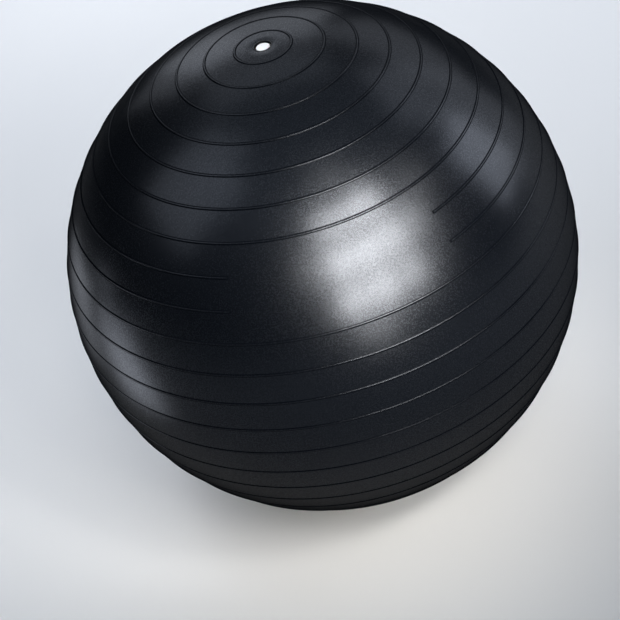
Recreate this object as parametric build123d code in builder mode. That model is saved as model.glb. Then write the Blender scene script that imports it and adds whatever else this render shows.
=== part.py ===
from build123d import *
import os
from math import asin, atan2, degrees, pi, radians, sqrt, tan

# Inflatable exercise ball, pumped up and standing on the floor with its valve on top.
# The origin is the middle of the patch that the ball's weight presses flat on the floor,
# and +Z runs up through the valve. Sizes are millimetres.

# Skin
ball_diameter = 650.0  # over the plain skin, between the ribs
skin_thickness = 0.9
foot_diameter = 73.0  # flat patch on the floor

# Ribs: low raised lines on circles about the valve axis, with sloping flanks
rib_width = 3.1  # at the skin
rib_crown = 1.3  # width of the top
rib_height = 0.8
rib_root = 0.5  # how far a rib's section reaches into the skin
first_rib = 35.0  # from the valve's axis to the first rib, measured over the skin
rib_pitch = 39.2  # from rib to rib, measured over the skin
last_rib_clearance = 5.0  # plain skin left between the last rib and the flat patch
patch_ribs = (8, 9)  # ribs, counted from the valve, that stop either side of the bare patch
patch_angle = 56.0  # width of the bare patch about the valve axis, centred on -Y
tip_inset = 0.1  # a rib's round tip is this much smaller all round than the rib

# Valve seat: an insert welded under the skin, whose boss fills the hole in it
boss_diameter = 24.0
boss_chamfer = 0.4
flange_diameter = 36.0
flange_thickness = 3.4
neck_diameter = 16.0
neck_length = 20.0  # below the flange
neck_draft = 3.0  # degrees
neck_root_chamfer = 1.2
bore_diameter = 9.4
pocket_depth = 3.4  # the plug sits on the pocket's floor, its head below the skin

# Plug
head_diameter = 17.0
head_thickness = 1.9
head_edge_radius = 0.6
head_clearance = 2.0  # all round the head, in the pocket
shank_length = 19.0
shank_relief = 0.45  # the shank's core lies this far inside its ridges
ridge_clearance = 0.05  # between the ridges and the bore, all round
first_ridge = 2.2  # below the head
ridge_width = 1.6
ridge_taper = 10.0  # degrees
ridge_pitch = 4.6
ridge_count = 3
tip_chamfer = 1.2
hollow_diameter = 4.6
hollow_depth = 15.0

ball_radius = ball_diameter / 2
inner_radius = ball_radius - skin_thickness
foot_radius = foot_diameter / 2
ball_centre = sqrt(ball_radius**2 - foot_radius**2)  # height of the centre above the floor

flank_angle = atan2(2 * rib_height, rib_width - rib_crown)
root_width = rib_width + 2 * rib_root * (rib_width - rib_crown) / (2 * rib_height)
root_radius = ball_radius - rib_root
ribbed_length = pi * ball_radius - first_rib - ball_radius * asin(foot_radius / ball_radius)
rib_count = 1 + int((ribbed_length - rib_width / 2 - last_rib_clearance) / rib_pitch)


def rib_angle(rib):
    """A rib's angle from the valve axis, in degrees, about the ball's centre."""
    return degrees((first_rib + (rib - 1) * rib_pitch) / ball_radius)


def draw_rib(rib):
    """Draws a rib's section in a sketch on a plane through the valve axis."""
    with Locations((0, ball_centre)):
        with PolarLocations(root_radius, 1, start_angle=90 - rib_angle(rib)):
            Trapezoid(
                root_width,
                rib_root + rib_height,
                degrees(flank_angle),
                rotation=-90,
                align=(Align.CENTER, Align.MIN),
            )


boss_top = ball_centre + sqrt(ball_radius**2 - (boss_diameter / 2) ** 2)

# Skin: the ribbed outside, hollowed, with the hole for the valve at the top
with BuildPart() as ball_shell:
    with BuildSketch(Plane.XZ):
        with Locations((0, ball_centre)):
            Circle(ball_radius)
        for rib in range(1, rib_count + 1):
            if rib not in patch_ribs:
                draw_rib(rib)
        split(bisect_by=Plane.YZ)
        split(bisect_by=Plane.ZX)  # the foot is pressed flat at the floor
    revolve(axis=Axis.Z)

    # The ribs beside the bare patch run round the back, and end in a round tip each side of it
    for rib in patch_ribs:
        with BuildSketch(Plane.XZ.rotated((0, 0, patch_angle / 2 - 90))):
            draw_rib(rib)
        revolve(axis=Axis.Z, revolution_arc=360 - patch_angle)
        for side in (-1, 1):
            end = -90 - side * patch_angle / 2
            outward = Vector(0, 0, 1).rotate(Axis.Y, rib_angle(rib)).rotate(Axis.Z, end)
            root = Vector(0, 0, ball_centre) + outward * root_radius
            with Locations(Plane(root, z_dir=outward)):
                Cone(
                    root_width / 2 - tip_inset,
                    rib_crown / 2 - tip_inset,
                    rib_root + rib_height - tip_inset,
                    align=(Align.CENTER, Align.CENTER, Align.MIN),
                )

    # Air space, which follows the skin and lies flat over the foot
    with BuildSketch(Plane.XZ):
        with Locations((0, ball_centre)):
            Circle(inner_radius)
        split(bisect_by=Plane.YZ)
        split(bisect_by=Plane.ZX.offset(skin_thickness))
    revolve(axis=Axis.Z, mode=Mode.SUBTRACT)

    with Locations((0, 0, boss_top)):
        Hole(boss_diameter / 2, depth=2 * skin_thickness)
    valve_rim = ball_shell.edges().filter_by(GeomType.CIRCLE).sort_by(Axis.Z)[-1]
    chamfer(valve_rim, boss_chamfer)

ball_shell.part.label = "ball_shell"

# Valve seat: the flange lies under the skin, the boss fills the hole, the neck hangs in the air space
flange_bottom = ball_centre + sqrt(inner_radius**2 - (flange_diameter / 2) ** 2) - flange_thickness
pocket_floor = boss_top - pocket_depth

with BuildPart() as valve_seat:
    with BuildSketch(Plane.XY.offset(flange_bottom)):
        Circle(flange_diameter / 2)
    extrude(amount=boss_top - flange_bottom)
    with Locations((0, 0, ball_centre)):
        Sphere(inner_radius, mode=Mode.INTERSECT)
    with BuildSketch(Plane.XY.offset(flange_bottom)):
        Circle(boss_diameter / 2)
    extrude(amount=boss_top - flange_bottom)
    chamfer(valve_seat.edges().group_by(Axis.Z)[-1], boss_chamfer)
    with Locations((0, 0, flange_bottom)):
        Cone(
            neck_diameter / 2 - neck_length * tan(radians(neck_draft)),
            neck_diameter / 2,
            neck_length,
            align=(Align.CENTER, Align.CENTER, Align.MAX),
        )
    neck_root = valve_seat.edges().filter_by(GeomType.CIRCLE).group_by(Axis.Z)[1].sort_by(SortBy.RADIUS)[0]
    chamfer(neck_root, neck_root_chamfer)
    with Locations((0, 0, boss_top)):
        CounterBoreHole(bore_diameter / 2, head_diameter / 2 + head_clearance, pocket_depth)

valve_seat.part.label = "valve_seat"

# Plug: the head rests on the pocket's floor, the ridges fill the bore
ridge_radius = bore_diameter / 2 - ridge_clearance

with BuildPart() as valve_plug:
    with BuildSketch(Plane.XY.offset(pocket_floor)):
        Circle(head_diameter / 2)
    extrude(amount=head_thickness)
    fillet(valve_plug.edges().group_by(Axis.Z)[-1], head_edge_radius)
    with BuildSketch(Plane.XY.offset(pocket_floor)):
        Circle(ridge_radius - shank_relief)
    extrude(amount=-shank_length)
    chamfer(valve_plug.edges().group_by(Axis.Z)[0], tip_chamfer)
    for ridge in range(ridge_count):
        with BuildSketch(Plane.XY.offset(pocket_floor - first_ridge - ridge * ridge_pitch)):
            Circle(ridge_radius)
        extrude(amount=-ridge_width, taper=ridge_taper)
    with Locations(Plane((0, 0, pocket_floor - shank_length), z_dir=(0, 0, -1))):
        Hole(hollow_diameter / 2, depth=hollow_depth)

valve_plug.part.label = "valve_plug"

os.makedirs("parts", exist_ok=True)
for piece in (ball_shell, valve_seat, valve_plug):
    export_step(piece.part, f"parts/{piece.part.label}.step")
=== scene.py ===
from math import acos, asin, ceil, cos, pi, radians, sin, sqrt, tan
import bmesh
import bpy
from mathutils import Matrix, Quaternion, Vector


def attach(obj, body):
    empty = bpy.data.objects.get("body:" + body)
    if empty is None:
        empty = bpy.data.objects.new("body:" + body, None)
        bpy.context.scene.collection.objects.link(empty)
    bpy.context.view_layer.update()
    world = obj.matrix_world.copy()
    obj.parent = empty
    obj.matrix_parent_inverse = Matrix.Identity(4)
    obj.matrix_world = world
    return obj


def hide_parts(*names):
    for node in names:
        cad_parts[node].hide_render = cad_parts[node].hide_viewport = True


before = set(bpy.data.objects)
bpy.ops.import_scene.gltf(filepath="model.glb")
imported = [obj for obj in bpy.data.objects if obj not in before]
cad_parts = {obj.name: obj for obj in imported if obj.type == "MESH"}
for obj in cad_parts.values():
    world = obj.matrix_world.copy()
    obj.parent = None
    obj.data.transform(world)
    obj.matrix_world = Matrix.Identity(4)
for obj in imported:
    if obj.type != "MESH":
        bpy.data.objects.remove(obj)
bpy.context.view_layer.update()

mm = 0.001
merge = 0.004 * mm       # points nearer than this are one
near = 0.01 * mm         # how far a ring of edges may lie from where it's looked for


def deselectAll():
    bpy.ops.object.select_all(action="DESELECT")


def choose(*pieces):
    # selects these pieces alone and makes the first one active
    deselectAll()
    for piece in pieces:
        piece.select_set(True)
    bpy.context.view_layer.objects.active = pieces[0]


def startPiece(name):
    # a single point at the origin, left in edit mode, for an outline to be drawn from
    deselectAll()
    bpy.ops.mesh.primitive_plane_add(size=1, location=(0, 0, 0))
    piece = bpy.context.object
    piece.name = piece.data.name = name
    bpy.ops.object.mode_set(mode="EDIT")
    bpy.ops.mesh.select_mode(type="VERT")
    bpy.ops.mesh.select_all(action="SELECT")
    bpy.ops.mesh.merge(type="CENTER")
    return piece


def drawOutline(points):
    # moves the single selected point to the first place, then extrudes it from place to place
    last = Vector((0, 0, 0))
    for count, point in enumerate(points):
        step = {"value": Vector(point) - last, "orient_type": "GLOBAL"}
        if count == 0:
            bpy.ops.transform.translate(**step)
        else:
            bpy.ops.mesh.extrude_region_move(TRANSFORM_OT_translate=step)
        last = Vector(point)


def pick(piece, kind, wanted):
    # selects the points that the given test accepts, or the edges with both ends accepted
    mesh = bmesh.from_edit_mesh(piece.data)
    bpy.ops.mesh.select_mode(type=kind)
    bpy.ops.mesh.select_all(action="DESELECT")
    if kind == "VERT":
        for point in mesh.verts:
            point.select = wanted(point.co)
    else:
        for edge in mesh.edges:
            edge.select = all(wanted(point.co) for point in edge.verts)
    mesh.select_flush_mode()
    bmesh.update_edit_mesh(piece.data)


def turn(steps, angle=2 * pi, axis=(0, 0, 1), centre=(0, 0, 0)):
    # Blender's spin runs clockwise about its axis
    bpy.ops.mesh.spin(steps=steps, angle=-angle, axis=axis, center=centre)


def weld():
    # makes one point of those that lie together
    bpy.ops.mesh.select_all(action="SELECT")
    bpy.ops.mesh.remove_doubles(threshold=merge)


def turnPiece(name, corners, sides):
    # a round piece, from the corners of its half section as radius and height
    piece = startPiece(name)
    drawOutline([(radius, 0, height) for radius, height in corners])
    bpy.ops.mesh.select_all(action="SELECT")
    turn(sides)
    weld()
    return piece


def roundEdge(piece, radius, height, width, segments=3):
    # bevels the ring of edges at a radius and height
    pick(piece, "EDGE", lambda p: abs(p.xy.length - radius) < near and abs(p.z - height) < near)
    bpy.ops.mesh.bevel(
        offset=width, offset_type="OFFSET", segments=segments, profile=0.5, affect="EDGES"
    )


def finishPiece(piece, smoothAngle):
    # closes the seam and the poles, points the faces outwards and smooths the shading
    weld()
    bpy.ops.mesh.normals_make_consistent(inside=False)
    bpy.ops.object.mode_set(mode="OBJECT")
    choose(piece)
    bpy.ops.object.shade_smooth_by_angle(angle=radians(smoothAngle))
    return piece


class Wire:
    # wraps a socket, so that shader maths reads as plain expressions
    def __init__(self, shader, socket):
        self.shader = shader
        self.socket = socket

    def maths(self, operation, first, second):
        return self.shader.node("ShaderNodeMath", {"operation": operation}, {0: first, 1: second})

    def then(self, operation, value=0.0):
        return self.maths(operation, self, value)

    def __add__(self, other):
        return self.maths("ADD", self, other)

    def __radd__(self, other):
        return self.maths("ADD", other, self)

    def __sub__(self, other):
        return self.maths("SUBTRACT", self, other)

    def __rsub__(self, other):
        return self.maths("SUBTRACT", other, self)

    def __mul__(self, other):
        return self.maths("MULTIPLY", self, other)

    def __rmul__(self, other):
        return self.maths("MULTIPLY", other, self)

    def __truediv__(self, other):
        return self.maths("DIVIDE", self, other)

    def __pow__(self, other):
        return self.maths("POWER", self, other)

    def rise(self, start, end):
        # goes smoothly from 0 to 1 while this goes from start to end
        values = {"Value": self, "From Min": start, "From Max": end}
        return self.shader.node(
            "ShaderNodeMapRange", {"interpolation_type": "SMOOTHSTEP"}, values
        )


class Shader:
    def __init__(self, tree):
        self.tree = tree
        tree.nodes.clear()

    def node(self, kind, settings, sockets, out=0):
        made = self.tree.nodes.new(kind)
        for setting, value in settings.items():
            if setting == "stops":
                ramp = made.color_ramp.elements
                while len(ramp) < len(value):
                    ramp.new(0.5)
                for element, (position, shade) in zip(ramp, value):
                    element.position = position
                    element.color = (shade, shade, shade, 1)
            else:
                setattr(made, setting, value)
        for name, value in sockets.items():
            self.feed(made.inputs[name], value)
        return Wire(self, made.outputs[out]) if made.outputs else None

    def feed(self, socket, value):
        if isinstance(value, Wire):
            self.tree.links.new(value.socket, socket)
        else:
            socket.default_value = value

    def place(self, kind="Object"):
        return self.node("ShaderNodeTexCoord", {}, {}, kind)

    def noise(self, place, size, detail=2.0, roughness=0.5):
        # size is the width of one bump, in metres
        values = {"Vector": place, "Scale": 0.5 / size, "Detail": detail, "Roughness": roughness}
        return self.node("ShaderNodeTexNoise", {}, values, "Fac")

    def ramp(self, value, *stops):
        return self.node("ShaderNodeValToRGB", {"stops": stops}, {"Fac": value})

    def mixColours(self, factor, first, second):
        # sockets 6 and 7 are the colours of a Mix node, and output 2 its colour
        return self.node(
            "ShaderNodeMix", {"data_type": "RGBA"}, {0: factor, 6: first, 7: second}, 2
        )

    def vector(self, operation, sockets, out=0):
        return self.node("ShaderNodeVectorMath", {"operation": operation}, sockets, out)

    def facing(self, vector, towards):
        # cosine of the angle between a vector and a fixed direction
        unit = self.vector("NORMALIZE", {0: vector})
        return self.vector("DOT_PRODUCT", {0: unit, 1: towards}, "Value")

    def bump(self, height, distance):
        return self.node("ShaderNodeBump", {}, {"Height": height, "Distance": distance})

    def principled(self, sockets):
        return self.node("ShaderNodeBsdfPrincipled", {}, sockets)

    def finish(self, surface):
        self.node("ShaderNodeOutputMaterial", {}, {"Surface": surface})


def newMaterial(name):
    material = bpy.data.materials.new(name)
    material.use_nodes = True
    return material, Shader(material.node_tree)


skinValues = {
    "radius": 325.0 * mm,      # over the plain skin
    "thickness": 0.9 * mm,
    "footRadius": 36.5 * mm,   # of the flat patch on the floor
    "footRows": (0.0, 6 * mm, 18 * mm, 30 * mm, 35.6 * mm),  # radii of the mesh's rows on it
    "holeRadius": 12.02 * mm,
    "holeEdge": 0.5 * mm,      # rounding of the hole's rim
    "firstRib": 35.0 * mm,     # measured over the skin from the valve's axis
    "ribPitch": 39.2 * mm,
    "ribCount": 25,
    "patchRibs": (8, 9),       # they stop either side of the bare patch
    "patchAngle": 56.0,        # width of the bare patch, centred on -Y
    "ribRoot": 0.5 * mm,       # how deep the two short ribs reach into the skin
    "plainStep": 12.0 * mm,    # spacing of the mesh's rows on the plain skin
    "innerStep": 70.0 * mm,    # and on the inside
    "sides": 256,
    "tipSteps": 10,
    "smoothAngle": 60,
}
# half of a rib's section: distance from its middle and height above the skin
ribHalf = [(0.0, 0.79), (0.45, 0.77), (0.78, 0.65), (1.36, 0.08), (1.6, 0.0), (2.3, 0.0)]
ribHalf = [(u * mm, h * mm) for u, h in ribHalf]

ballRadius = skinValues["radius"]
centreHeight = sqrt(ballRadius**2 - skinValues["footRadius"] ** 2)
ballCentre = Vector((0, 0, centreHeight))


def overSkin(along, height=0.0):
    # a point in the XZ plane, from its distance over the skin from the valve's axis
    angle, reach = along / ballRadius, ballRadius + height
    return Vector((reach * sin(angle), 0, centreHeight + reach * cos(angle)))


def ribPlace(rib):
    return skinValues["firstRib"] + (rib - 1) * skinValues["ribPitch"]


def ribSection(place):
    # the whole of a rib's section above the skin, from the side nearer the valve
    section = [overSkin(place - u, h) for u, h in reversed(ribHalf)]
    return section + [overSkin(place + u, h) for u, h in ribHalf[1:]]


def plainRun(start, end):
    # points between two places on the plain skin, neither of them included
    count = max(1, ceil((end - start) / skinValues["plainStep"]))
    return [overSkin(start + (end - start) * k / count) for k in range(1, count)]


def skinOutline():
    v = skinValues
    hole, edge = v["holeRadius"], v["holeEdge"]
    rimStart = ballRadius * asin((hole + edge) / ballRadius)
    rimTop = overSkin(rimStart)
    # outside, from the middle of the foot up to the rim
    outline = [Vector((radius, 0, 0)) for radius in v["footRows"]]
    footEnd = pi * ballRadius - ballRadius * asin(v["footRadius"] / ballRadius)
    outside = []
    last = rimStart
    for rib in range(1, v["ribCount"] + 1):
        if rib in v["patchRibs"]:
            continue
        place, reach = ribPlace(rib), ribHalf[-1][0]
        outside += plainRun(last, place - reach) + ribSection(place)
        last = place + reach
    outside += plainRun(last, footEnd) + [overSkin(footEnd)]
    outline += list(reversed(outside))
    # rounded rim of the hole, then down through it and back round the inside
    for turned in (0, 30, 60, 90):
        out, down = edge * (1 - sin(radians(turned))), edge * (1 - cos(radians(turned)))
        outline.append(Vector((hole + out, 0, rimTop.z - down)))
    inner = ballRadius - v["thickness"]
    start, end = asin(hole / inner), pi - acos((centreHeight - v["thickness"]) / inner)
    count = ceil((end - start) * inner / v["innerStep"])
    for step in range(count + 1):
        angle = start + (end - start) * step / count
        outline.append(Vector((inner * sin(angle), 0, centreHeight + inner * cos(angle))))
    outline.append(Vector((0, 0, v["thickness"])))
    return outline


def makeSkin():
    v = skinValues
    piece = startPiece("ballSkin")
    drawOutline(skinOutline())
    bpy.ops.mesh.select_all(action="SELECT")
    turn(v["sides"])
    return finishPiece(piece, v["smoothAngle"])


def makeShortRib(rib):
    # a rib that runs round the back, with a round tip either side of the bare patch
    v = skinValues
    piece = startPiece(f"shortRib{rib}")
    place, reach, root = ribPlace(rib), ribHalf[-1][0], -v["ribRoot"]
    section = ribSection(place)
    section += [overSkin(place + side * reach, root) for side in (1, 0, -1)]
    drawOutline(section + [section[0]])
    weld()
    halfPatch = radians(v["patchAngle"] / 2)
    # with no window, rotate runs clockwise too
    bpy.ops.transform.rotate(
        value=pi / 2 - halfPatch, orient_axis="Z", orient_type="GLOBAL", center_override=(0, 0, 0)
    )
    sweep = 2 * (pi - halfPatch)
    turn(ceil(v["sides"] * sweep / (2 * pi)), sweep)
    for side in (1, -1):
        # half of the section at each end is swept round the line that stands on the skin there
        azimuth = -pi / 2 + side * halfPatch
        across = Vector((-sin(azimuth), cos(azimuth), 0))
        outward = (overSkin(place) - ballCentre).normalized()
        outward = Quaternion((0, 0, 1), azimuth) @ outward
        downSkin = across.cross(outward)
        foot = ballCentre + outward * (ballRadius + root)

        def inHalfSection(point):
            away = point - foot
            atEnd = abs(away.dot(across)) < merge and away.length < 4 * reach
            return atEnd and away.dot(downSkin) > -merge

        pick(piece, "VERT", inHalfSection)
        turn(v["tipSteps"], -side * pi, outward, foot)
    return finishPiece(piece, v["smoothAngle"])


ballSkin = makeSkin()
shortRibs = [makeShortRib(rib) for rib in skinValues["patchRibs"]]
choose(ballSkin, *shortRibs)
bpy.ops.object.join()
print("skin:", len(ballSkin.data.vertices), "points", [round(c, 5) for c in ballSkin.dimensions])


seatValues = {
    "bossRadius": 11.96 * mm,
    "bossTopRadius": 12.0 * mm,    # the boss is as high as the skin would be at this radius
    "bossEdge": 0.5 * mm,
    "skinGap": 0.03 * mm,          # between the flange and the inside of the skin
    "flangeRadius": 17.95 * mm,
    "flangeMiddle": 15.0 * mm,     # radius of the mesh's row on top of the flange
    "flangeThickness": 3.4 * mm,
    "thicknessRadius": 18.0 * mm,  # where that thickness is measured
    "flangeEdge": 0.4 * mm,
    "neckRadius": 8.0 * mm,
    "neckRoot": 1.1 * mm,          # hollow rounding where the neck meets the flange
    "neckTipRadius": 6.95 * mm,
    "neckLength": 20.0 * mm,
    "neckEdge": 0.4 * mm,
    "boreRadius": 4.7 * mm,
    "boreEdge": 0.3 * mm,
    "pocketRadius": 10.5 * mm,
    "pocketDepth": 3.4 * mm,
    "pocketEdge": 0.3 * mm,
    "pocketRoot": 0.25 * mm,       # hollow rounding at the edge of the pocket's floor
    "sides": 96,
    "smoothAngle": 50,
}
bossTop = centreHeight + sqrt(ballRadius**2 - seatValues["bossTopRadius"] ** 2)
pocketFloor = bossTop - seatValues["pocketDepth"]


def underSkin(radius):
    # height of the top of the flange
    inner = ballRadius - skinValues["thickness"]
    return centreHeight + sqrt((inner - seatValues["skinGap"]) ** 2 - radius**2)


def makeSeat():
    v = seatValues
    flangeBottom = underSkin(v["thicknessRadius"]) - v["flangeThickness"]
    neckTip = flangeBottom - v["neckLength"]
    piece = turnPiece("valveSeatRubber", [
        (v["boreRadius"], pocketFloor),
        (v["pocketRadius"], pocketFloor),
        (v["pocketRadius"], bossTop),
        (v["bossRadius"], bossTop),
        (v["bossRadius"], underSkin(v["bossRadius"])),
        (v["flangeMiddle"], underSkin(v["flangeMiddle"])),
        (v["flangeRadius"], underSkin(v["flangeRadius"])),
        (v["flangeRadius"], flangeBottom),
        (v["neckRadius"], flangeBottom),
        (v["neckTipRadius"], neckTip),
        (v["boreRadius"], neckTip),
        (v["boreRadius"], pocketFloor),
    ], v["sides"])
    roundEdge(piece, v["bossRadius"], bossTop, v["bossEdge"], segments=4)
    roundEdge(piece, v["pocketRadius"], bossTop, v["pocketEdge"])
    roundEdge(piece, v["pocketRadius"], pocketFloor, v["pocketRoot"])
    roundEdge(piece, v["boreRadius"], pocketFloor, v["boreEdge"])
    roundEdge(piece, v["flangeRadius"], flangeBottom, v["flangeEdge"])
    roundEdge(piece, v["neckRadius"], flangeBottom, v["neckRoot"], segments=4)
    roundEdge(piece, v["neckTipRadius"], neckTip, v["neckEdge"])
    roundEdge(piece, v["boreRadius"], neckTip, v["neckEdge"])
    return finishPiece(piece, v["smoothAngle"])


plugValues = {
    "headRadius": 8.5 * mm,
    "headThickness": 1.9 * mm,
    "headEdge": 0.6 * mm,
    "headUnderEdge": 0.25 * mm,
    "dishRadius": 6.3 * mm,    # shallow hollow in the top of the head
    "dishDepth": 0.14 * mm,
    "dishSlope": 0.7 * mm,     # width of its sloping side
    "dishEdge": 0.3 * mm,
    "coreRadius": 4.2 * mm,
    "shankLength": 19.0 * mm,
    "ridgeRadius": 4.65 * mm,
    "ridgeFoot": 4.37 * mm,
    "ridgeWidth": 1.6 * mm,
    "ridgeEdge": 0.15 * mm,
    "firstRidge": 2.2 * mm,
    "ridgePitch": 4.6 * mm,
    "ridgeCount": 3,
    "tipChamfer": 1.2 * mm,
    "tipEdge": 0.3 * mm,       # rounding where the chamfer starts
    "hollowRadius": 2.3 * mm,
    "hollowDepth": 15.0 * mm,
    "sides": 96,
    "smoothAngle": 50,
}


def makePlug():
    v = plugValues
    headTop, tip = pocketFloor + v["headThickness"], pocketFloor - v["shankLength"]
    dishFloor, hollowTop = headTop - v["dishDepth"], tip + v["hollowDepth"]
    ridgeTops = [
        pocketFloor - v["firstRidge"] - ridge * v["ridgePitch"] for ridge in range(v["ridgeCount"])
    ]
    corners = [
        (0.0, dishFloor),
        (v["dishRadius"] - v["dishSlope"], dishFloor),
        (v["dishRadius"], headTop),
        (v["headRadius"], headTop),
        (v["headRadius"], pocketFloor),
        (v["coreRadius"], pocketFloor),
    ]
    for top in ridgeTops:
        corners += [
            (v["coreRadius"], top),
            (v["ridgeRadius"], top),
            (v["ridgeFoot"], top - v["ridgeWidth"]),
            (v["coreRadius"], top - v["ridgeWidth"]),
        ]
    corners += [
        (v["coreRadius"], tip + v["tipChamfer"]),
        (v["coreRadius"] - v["tipChamfer"], tip),
        (v["hollowRadius"], tip),
        (v["hollowRadius"], hollowTop),
        (0.0, hollowTop),
    ]
    piece = turnPiece("plugPlastic", corners, v["sides"])
    roundEdge(piece, v["headRadius"], headTop, v["headEdge"], segments=5)
    roundEdge(piece, v["headRadius"], pocketFloor, v["headUnderEdge"])
    roundEdge(piece, v["dishRadius"], headTop, v["dishEdge"])
    for top in ridgeTops:
        roundEdge(piece, v["ridgeRadius"], top, v["ridgeEdge"])
    roundEdge(piece, v["coreRadius"], tip + v["tipChamfer"], v["tipEdge"])
    return finishPiece(piece, v["smoothAngle"])


valveSeat = makeSeat()
valvePlug = makePlug()
print("valve:", len(valveSeat.data.vertices), "and", len(valvePlug.data.vertices), "points")


skinFinish = {
    "colour": (0.001, 0.0014, 0.0023, 1),
    "roughness": 0.26,
    "specular": 0.56,
    "tint": (0.88, 0.92, 1.0, 1),
    "edgeFade": 1.5,           # how soon the gloss dies away where the skin turns from the eye
    "grainSize": 0.9 * mm,
    "grainDetail": 3.0,
    "grainRoughness": 0.6,
    "grainDepth": 0.08 * mm,
    "grainRange": (0.36, 0.64),            # of the noise, from full gloss to the dullest specks
    "grainDulling": 0.33,
    "grainPolish": 0.04,
    "cloudSize": 60 * mm,                  # slow changes of roughness over the skin
    "cloudDetail": 3.0,
    "cloudPolish": 0.04,
    "flankStart": (0.55 * mm, 0.85 * mm),  # painted shade line beside each rib, standing for the shade in the corner at its foot, from the rib's middle
    "flankEnd": (1.7 * mm, 2.4 * mm),
    "flankShade": 0.87,
    "shortShade": 0.97,                  # painted shade beside the two short ribs
    "shortReach": (0.4, 0.5),              # how far from them it holds, in rib pitches
    "tipStart": (0.0, 0.002),              # painted shade over their round tips, in radians into the bare patch
    "tipEnd": (0.008, 0.012),
}


def paintedRibShade(shader, place):
    # painted shade: how much gloss is taken off the flanks of the ribs and at their feet, standing
    # for the shade where little light gets in
    v, f = skinValues, skinFinish
    fromCentre = shader.vector("SUBTRACT", {0: place, 1: ballCentre})
    along = ballRadius * shader.facing(fromCentre, (0, 0, 1)).then("ARCCOSINE")
    rib = 1 + (along - v["firstRib"]) / v["ribPitch"]
    away = rib.then("PINGPONG", 0.5) * v["ribPitch"]  # from the middle of the nearest rib
    # the two short ribs: the painted shade covers their round tips all over, but not the bare patch
    # between
    first, last = v["patchRibs"]
    hold, fade = f["shortReach"]
    short = rib.rise(first - fade, first - hold) * (1 - rib.rise(last + hold, last + fade))
    level = shader.vector("MULTIPLY", {0: place, 1: (1, 1, 0)})
    ahead = shader.facing(level, (0, -1, 0))
    halfPatch = radians(v["patchAngle"] / 2)
    inTip = short * ahead.rise(*(cos(halfPatch - into) for into in f["tipStart"]))
    pastTip = short * ahead.rise(*(cos(halfPatch - into) for into in f["tipEnd"]))
    offCrown = away.rise(*f["flankStart"]).then("MAXIMUM", inTip)
    paintedShade = f["flankShade"] + (f["shortShade"] - f["flankShade"]) * short
    return offCrown * (1 - away.rise(*f["flankEnd"])) * (1 - pastTip) * paintedShade


def makeSkinMaterial():
    v = skinFinish
    material, shader = newMaterial("blackRubber")
    place = shader.place()
    grain = shader.noise(place, v["grainSize"], v["grainDetail"], v["grainRoughness"])
    speck = grain.rise(*v["grainRange"])
    cloud = shader.noise(place, v["cloudSize"], v["cloudDetail"])
    roughness = v["roughness"] + (0.5 - speck) * v["grainPolish"]
    gloss = shader.principled({
        "Base Color": v["colour"],
        "Roughness": roughness + (cloud - 0.5) * v["cloudPolish"],
        "Specular IOR Level": v["specular"],
        "Specular Tint": v["tint"],
        "Normal": shader.bump(grain, v["grainDepth"]),
    })
    dull = shader.principled({
        "Base Color": v["colour"],
        "Roughness": 1.0,
        "Specular IOR Level": 0.0,
    })
    facing = shader.node("ShaderNodeLayerWeight", {}, {"Blend": 0.5}, "Facing")
    # the painted shade beside the ribs takes gloss off, and the gloss also fades where the skin
    # turns from the eye
    glossLeft = (1 - facing) ** v["edgeFade"] * (1 - paintedRibShade(shader, place))
    glossLeft *= 1 - v["grainDulling"] * speck
    shader.finish(
        shader.node("ShaderNodeMixShader", {}, {"Fac": 1 - glossLeft, 1: gloss, 2: dull})
    )
    return material


seatFinish = {
    "colour": (0.002, 0.0022, 0.0028, 1),
    "roughness": 0.5,
    "specular": 0.15,
    "grainSize": 0.6 * mm,
    "grainDepth": 0.006 * mm,
    "grainPolish": 0.2,
}


def makeSeatMaterial():
    v = seatFinish
    material, shader = newMaterial("seatRubber")
    grain = shader.noise(shader.place(), v["grainSize"])
    shader.finish(shader.principled({
        "Base Color": v["colour"],
        "Roughness": v["roughness"] + (grain - 0.5) * v["grainPolish"],
        "Specular IOR Level": v["specular"],
        "Normal": shader.bump(grain, v["grainDepth"]),
    }))
    return material


plugFinish = {
    "colours": ((0.74, 0.74, 0.72, 1), (0.82, 0.82, 0.8, 1)),
    "roughness": 0.22,
    "mottleSize": 2.5 * mm,
    "mottlePolish": 0.1,
    "subsurface": 0.1,
    "subsurfaceScale": 1 * mm,
    "grainSize": 0.8 * mm,
    "grainDepth": 0.002 * mm,
}


def makePlugMaterial():
    v = plugFinish
    material, shader = newMaterial("whitePlastic")
    place = shader.place()
    mottle = shader.noise(place, v["mottleSize"])
    shader.finish(shader.principled({
        "Base Color": shader.mixColours(mottle, *v["colours"]),
        "Roughness": v["roughness"] + (mottle - 0.5) * v["mottlePolish"],
        "Subsurface Weight": v["subsurface"],
        "Subsurface Scale": v["subsurfaceScale"],
        "Normal": shader.bump(shader.noise(place, v["grainSize"]), v["grainDepth"]),
    }))
    return material


def dress(piece, material, body, node):
    piece.data.materials.clear()
    piece.data.materials.append(material)
    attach(piece, body)
    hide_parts(node)


dress(ballSkin, makeSkinMaterial(), "ball", "ball_shell")
dress(valveSeat, makeSeatMaterial(), "ball", "valve_seat")
dress(valvePlug, makePlugMaterial(), "plug", "valve_plug")
print("pieces dressed")


floorValues = {"size": 24.0, "colour": (0.7, 0.69, 0.67, 1), "roughness": 0.7, "specular": 0.2}


def makeFloor():
    v = floorValues
    deselectAll()
    bpy.ops.mesh.primitive_plane_add(size=v["size"], location=(0, 0, 0))
    floor = bpy.context.object
    floor.name = "floor"
    material, shader = newMaterial("paleFloor")
    shader.finish(shader.principled({
        "Base Color": v["colour"],
        "Roughness": v["roughness"],
        "Specular IOR Level": v["specular"],
    }))
    floor.data.materials.append(material)


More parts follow.
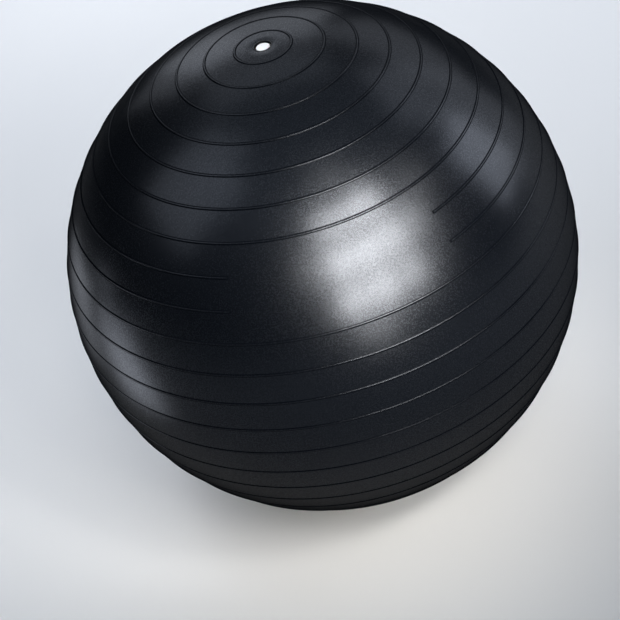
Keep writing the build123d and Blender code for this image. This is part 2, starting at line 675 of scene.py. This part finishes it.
# lamps by their direction from the ball's middle, in degrees as seen from above and over the
# floor; a level of 1 lights a white card that faces the lamp as white
warmLight, coolLight = (1, 0.985, 0.96), (0.85, 0.9, 1)
keyLamp = {"distance": 2.2, "spread": 21, "aim": (0.05, -0.29, 0.45), "colour": warmLight}
plainLamp = {"distance": 2.2, "spread": 180, "aim": (0, 0, 0.32), "colour": coolLight}
edgeLamp = {"spread": 40, "colour": coolLight}
keyBank = {                    # a panel of small softboxes, one for each azimuth and elevation
    "width": 0.42,
    "height": 0.48,
    "elevations": (16, 31, 46),
    "levels": {
        5: (0.72, 0.76, 0.5),
        18: (0.78, 0.78, 0.43),
        31: (0.49, 0.71, 0.72),
        44: (0.02, 0.26),
    },
}
lampValues = {
    "keyLeftEdge": {
        **keyLamp, "azimuth": -8, "elevation": 31, "width": 0.42, "height": 0.9, "level": 0.19,
    },
    "keyTopEdge": {
        **keyLamp, "azimuth": 20, "elevation": 62, "width": 0.9, "height": 0.6, "level": 0.12,
    },
    "keyLowEdge": {
        **keyLamp, "azimuth": 11, "elevation": 2, "width": 1.0, "height": 0.35, "level": 0.26,
    },
    "keyRightTop": {
        **keyLamp, "azimuth": 60, "elevation": 40, "width": 0.7, "height": 0.7, "level": 0.11,
        "spread": 25, "aim": (0.1, -0.15, 0.5),
    },
    "rightOverhead": {
        **plainLamp, "azimuth": 112, "elevation": 42, "width": 1.1, "height": 0.8, "level": 0.09,
    },
    "backSoftbox": {
        **plainLamp, "azimuth": 180, "elevation": 21, "width": 1.3, "height": 1.3, "level": 0.38,
    },
    "backOverhead": {
        **plainLamp, "azimuth": 180, "elevation": 50, "width": 1.6, "height": 1.2, "level": 0.17,
        "distance": 2.4, "spread": 100, "aim": (0, 0.9, 0),
    },
    "backRight": {
        **plainLamp, "azimuth": 140, "elevation": 24, "width": 1.3, "height": 1.0, "level": 0.13,
    },
    "rightSoftbox": {
        **plainLamp, "azimuth": 93, "elevation": 16, "width": 0.8, "height": 1.1, "level": 0.31,
    },
    "backLeft": {
        **plainLamp, "azimuth": -165, "elevation": 20, "width": 0.9, "height": 1.0, "level": 0.09,
    },
    "leftOverhead": {
        **plainLamp, "azimuth": -92, "elevation": 50, "width": 1.3, "height": 1.4, "level": 0.165,
    },
    "leftHorizon": {
        **plainLamp, "azimuth": -112, "elevation": -4, "width": 0.5, "height": 0.3, "level": 0.04,
        "spread": 16, "aim": (-0.29, -0.05, 0.34),
    },
    "leftFloor": {
        **edgeLamp, "azimuth": -100, "elevation": 65, "width": 0.5, "height": 0.5, "level": 0.38,
        "distance": 2.0, "aim": (-0.75, 0.0, 0.0),
    },
    "rightWall": {
        **plainLamp, "azimuth": 112, "elevation": 12, "width": 1.0, "height": 1.4, "level": 0.16,
    },
    "leftEdgePanel": {
        **edgeLamp, "azimuth": -120, "elevation": -14, "width": 0.3, "height": 0.3, "level": 0.34,
        "distance": 0.75, "aim": (-0.29, -0.05, 0.34),
    },
    "lowLeftPanel": {
        **edgeLamp, "azimuth": -91, "elevation": -12, "width": 0.26, "height": 0.32, "level": 0.36,
        "distance": 0.72, "aim": (-0.27, -0.15, 0.37),
    },
    "lowestLeftPanel": {
        **edgeLamp, "azimuth": -85, "elevation": -22, "width": 0.26, "height": 0.32, "level": 0.2,
        "distance": 0.72, "aim": (-0.27, -0.15, 0.33),
    },
}
worldValues = {
    "colour": (0.74, 0.85, 1.0, 1),
    # height in the sky, from 0 straight down to 1 straight up, and its brightness
    "shades": ((0.4, 0.07), (0.6, 0.07), (0.8, 0.12), (0.88, 0.3), (0.95, 0.4)),
}


def direction(azimuth, elevation):
    a, e = radians(azimuth), radians(elevation)
    return Vector((sin(a) * cos(e), -cos(a) * cos(e), sin(e)))


def makeLamp(name, v):
    towards = direction(v["azimuth"], v["elevation"])
    data = bpy.data.lights.new(name, "AREA")
    data.shape, data.size, data.size_y = "RECTANGLE", v["width"], v["height"]
    data.spread = radians(v["spread"])
    half = data.spread / 2
    # a softbox with a grid gathers its light, which this undoes
    gathered = tan(half) / (tan(half) - half) if v["spread"] < 180 else 1
    data.energy = v["level"] * (pi * v["distance"]) ** 2 / gathered
    data.color = v["colour"]
    lamp = bpy.data.objects.new(name, data)
    bpy.context.scene.collection.objects.link(lamp)
    lamp.location = ballCentre + towards * v["distance"]
    lamp.rotation_euler = (lamp.location - Vector(v["aim"])).to_track_quat("Z", "Y").to_euler()
    lamp.visible_camera = False


def makeLamps():
    for azimuth, levels in keyBank["levels"].items():
        for elevation, level in zip(keyBank["elevations"], levels):
            values = {"azimuth": azimuth, "elevation": elevation, "level": level}
            makeLamp(f"key{azimuth}x{elevation}", {**keyLamp, **keyBank, **values})
    for name, values in lampValues.items():
        makeLamp(name, values)


def makeWorld():
    v = worldValues
    world = bpy.data.worlds.new("studio")
    bpy.context.scene.world = world
    world.use_nodes = True
    shader = Shader(world.node_tree)
    upward = shader.facing(shader.place("Generated"), (0, 0, 1))
    shade = shader.ramp(0.5 + 0.5 * upward, *v["shades"])
    colour = shader.mixColours(shade, (0, 0, 0, 1), v["colour"])
    light = shader.node("ShaderNodeBackground", {}, {"Color": colour})
    shader.node("ShaderNodeOutputWorld", {}, {"Surface": light})


cameraValues = {
    "azimuth": -2.95,
    "elevation": 37.127,
    "roll": 15.96,                  # clockwise
    "distance": 2.714,              # from the ball's middle
    "lens": 122.98,
    "sensor": 36,
    "clipEnd": 100,
    "pictureWidth": 620,
    "ballInPicture": (12.5, 54.3),  # its middle, right of and above the picture's
}


def makeCamera():
    v = cameraValues
    towards = direction(v["azimuth"], v["elevation"])
    camera = bpy.data.objects.new("camera", bpy.data.cameras.new("camera"))
    bpy.context.scene.collection.objects.link(camera)
    bpy.context.scene.camera = camera
    camera.data.lens = v["lens"]
    camera.data.sensor_width = v["sensor"]
    camera.data.clip_end = v["clipEnd"]
    level = towards.to_track_quat("Z", "Y")
    rolled = level @ Quaternion((0, 0, 1), -radians(v["roll"]))
    focal = v["lens"] / v["sensor"] * v["pictureWidth"]
    toBall = Vector((*v["ballInPicture"], -focal))
    aim = toBall.rotation_difference(Vector((0, 0, -1)))
    camera.rotation_euler = (rolled @ aim).to_euler()
    camera.location = ballCentre + towards * v["distance"]


makeFloor()
makeLamps()
makeWorld()
makeCamera()
bpy.context.scene.view_settings.view_transform = "Standard"
print("floor, lamps and camera placed")
